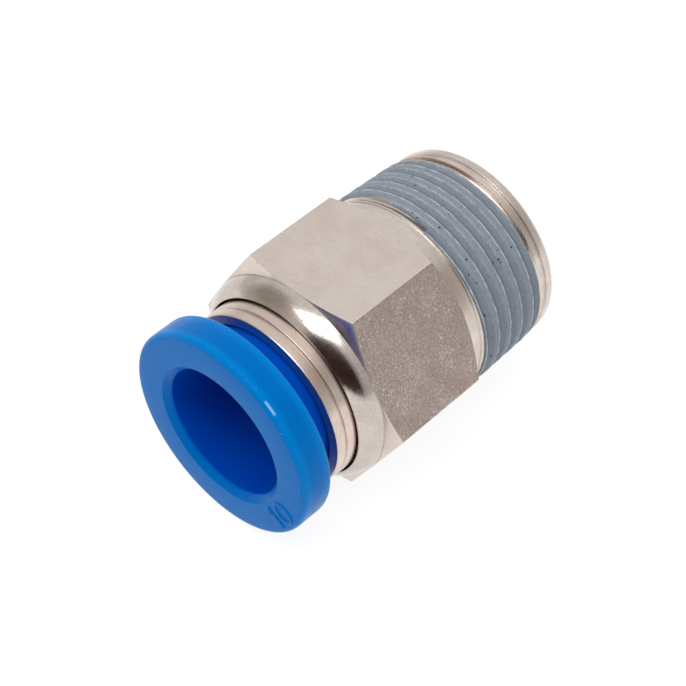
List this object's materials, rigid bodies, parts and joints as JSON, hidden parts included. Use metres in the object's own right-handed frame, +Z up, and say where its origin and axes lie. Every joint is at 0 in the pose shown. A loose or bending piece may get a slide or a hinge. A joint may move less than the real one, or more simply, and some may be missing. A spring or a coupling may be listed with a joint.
{
  "type": "push to connect fitting",
  "caption": "Straight push-in tube fitting: nickel-plated hexagon body with a sealant-coated male taper thread and a blue release ring that slides in to free the tube.",
  "frame": {"origin": "bottom centre of the box: under the middle of the length, on the hexagon flat that the fitting lies on", "axes": "+Y along the tube axis from the tube entry to the thread, +Z up, square to the hexagon flat it lies on; the tube axis is 8.5 mm above the origin"},
  "size_m": [0.0196, 0.027, 0.017],
  "materials": {
    "nickel_plated_brass": "nickel plated over turned brass, satin flats and a polished dome",
    "guide_nickel": "nickel plated, satin",
    "thread_sealant": "matte dried sealant coat, slightly granular",
    "blue_acetal": "moulded acetal, satin gloss",
    "stainless_spring": "stamped stainless spring strip",
    "plain_brass": "turned brass",
    "nitrile_rubber": "moulded nitrile rubber, lightly greased"
  },
  "bodies": {
    "fitting_body": {"body": "nickel_plated_brass", "thread_sealant": "thread_sealant", "guide_ring": "guide_nickel", "back_ring": "plain_brass", "tube_seal": "nitrile_rubber"},
    "claw_carrier": {"claw_ring": "stainless_spring"},
    "release_button": {"release_ring": "blue_acetal"},
    "finger_01": {"claw_finger_01": "stainless_spring"},
    "finger_02": {"claw_finger_02": "stainless_spring"},
    "finger_03": {"claw_finger_03": "stainless_spring"},
    "finger_04": {"claw_finger_04": "stainless_spring"},
    "finger_05": {"claw_finger_05": "stainless_spring"},
    "finger_06": {"claw_finger_06": "stainless_spring"},
    "finger_07": {"claw_finger_07": "stainless_spring"},
    "finger_08": {"claw_finger_08": "stainless_spring"},
    "finger_09": {"claw_finger_09": "stainless_spring"},
    "finger_10": {"claw_finger_10": "stainless_spring"},
    "finger_11": {"claw_finger_11": "stainless_spring"},
    "finger_12": {"claw_finger_12": "stainless_spring"}
  },
  "joints": [
    {"name": "claw_spin", "type": "hinge", "parent": "fitting_body", "child": "claw_carrier", "pos_m": [0, -0.003, 0.0085], "axis": [0, 1, 0], "continuous": true},
    {"name": "release_slide", "type": "slide", "parent": "claw_carrier", "child": "release_button", "axis": [0, 1, 0], "range_m": [0, 0.0014], "stiffness_N_per_m": 400},
    {"name": "finger_01_flex", "type": "hinge", "parent": "claw_carrier", "child": "finger_01", "pos_m": [0.0066, -0.00284, 0.0085], "axis": [0, 0, -1], "range_deg": [0, 16.5]},
    {"name": "finger_02_flex", "type": "hinge", "parent": "claw_carrier", "child": "finger_02", "pos_m": [0.00572, -0.00284, 0.0118], "axis": [0.5, 0, -0.866], "range_deg": [0, 16.5]},
    {"name": "finger_03_flex", "type": "hinge", "parent": "claw_carrier", "child": "finger_03", "pos_m": [0.0033, -0.00284, 0.01422], "axis": [0.866, 0, -0.5], "range_deg": [0, 16.5]},
    {"name": "finger_04_flex", "type": "hinge", "parent": "claw_carrier", "child": "finger_04", "pos_m": [0, -0.00284, 0.0151], "axis": [1, 0, 0], "range_deg": [0, 16.5]},
    {"name": "finger_05_flex", "type": "hinge", "parent": "claw_carrier", "child": "finger_05", "pos_m": [-0.0033, -0.00284, 0.01422], "axis": [0.866, 0, 0.5], "range_deg": [0, 16.5]},
    {"name": "finger_06_flex", "type": "hinge", "parent": "claw_carrier", "child": "finger_06", "pos_m": [-0.00572, -0.00284, 0.0118], "axis": [0.5, 0, 0.866], "range_deg": [0, 16.5]},
    {"name": "finger_07_flex", "type": "hinge", "parent": "claw_carrier", "child": "finger_07", "pos_m": [-0.0066, -0.00284, 0.0085], "axis": [0, 0, 1], "range_deg": [0, 16.5]},
    {"name": "finger_08_flex", "type": "hinge", "parent": "claw_carrier", "child": "finger_08", "pos_m": [-0.00572, -0.00284, 0.0052], "axis": [-0.5, 0, 0.866], "range_deg": [0, 16.5]},
    {"name": "finger_09_flex", "type": "hinge", "parent": "claw_carrier", "child": "finger_09", "pos_m": [-0.0033, -0.00284, 0.00278], "axis": [-0.866, 0, 0.5], "range_deg": [0, 16.5]},
    {"name": "finger_10_flex", "type": "hinge", "parent": "claw_carrier", "child": "finger_10", "pos_m": [0, -0.00284, 0.0019], "axis": [-1, 0, 0], "range_deg": [0, 16.5]},
    {"name": "finger_11_flex", "type": "hinge", "parent": "claw_carrier", "child": "finger_11", "pos_m": [0.0033, -0.00284, 0.00278], "axis": [-0.866, 0, -0.5], "range_deg": [0, 16.5]},
    {"name": "finger_12_flex", "type": "hinge", "parent": "claw_carrier", "child": "finger_12", "pos_m": [0.00572, -0.00284, 0.0052], "axis": [-0.5, 0, -0.866], "range_deg": [0, 16.5]}
  ],
  "couplings": [
    {"joint": "finger_01_flex", "follows": "release_slide", "rad_per_m": 204},
    {"joint": "finger_02_flex", "follows": "release_slide", "rad_per_m": 204},
    {"joint": "finger_03_flex", "follows": "release_slide", "rad_per_m": 204},
    {"joint": "finger_04_flex", "follows": "release_slide", "rad_per_m": 204},
    {"joint": "finger_05_flex", "follows": "release_slide", "rad_per_m": 204},
    {"joint": "finger_06_flex", "follows": "release_slide", "rad_per_m": 204},
    {"joint": "finger_07_flex", "follows": "release_slide", "rad_per_m": 204},
    {"joint": "finger_08_flex", "follows": "release_slide", "rad_per_m": 204},
    {"joint": "finger_09_flex", "follows": "release_slide", "rad_per_m": 204},
    {"joint": "finger_10_flex", "follows": "release_slide", "rad_per_m": 204},
    {"joint": "finger_11_flex", "follows": "release_slide", "rad_per_m": 204},
    {"joint": "finger_12_flex", "follows": "release_slide", "rad_per_m": 204}
  ]
}
